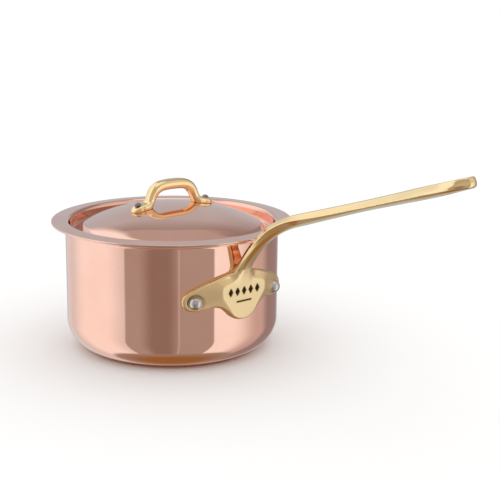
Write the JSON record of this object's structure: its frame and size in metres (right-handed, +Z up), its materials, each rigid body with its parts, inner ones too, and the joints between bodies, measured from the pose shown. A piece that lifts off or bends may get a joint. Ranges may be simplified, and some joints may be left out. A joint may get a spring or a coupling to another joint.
{
  "type": "saucepan",
  "caption": "Copper saucepan lined with stainless steel, with a flared pouring lip, a riveted cast long handle and a lift-off domed lid with an arched handle.",
  "frame": {"origin": "centre of the base's underside, where the pan stands", "axes": "+Z up; +X out along the long handle, so +Y is on the left of a person who holds the handle and faces the pan"},
  "size_m": [0.3769, 0.1828, 0.1691],
  "materials": {
    "copper": null,
    "stainless_lining": "stainless steel with fine concentric brush lines",
    "cast_brass": "polished cast brass, pale gold",
    "rivet_steel": "polished stainless steel"
  },
  "bodies": {
    "pan": {"pan_shell": "copper", "pan_lining": "stainless_lining", "handle": "cast_brass", "handle_rivet_left": "rivet_steel", "handle_rivet_right": "rivet_steel"},
    "lid": {"lid_shell": "copper", "lid_lining": "stainless_lining", "lid_handle": "cast_brass", "lid_rivet_left": "rivet_steel", "lid_rivet_right": "rivet_steel"}
  },
  "joints": [
    {"name": "lid_lift", "type": "slide", "parent": "pan", "child": "lid", "axis": [0, 0, 1], "range_m": [0, 0.15]}
  ]
}
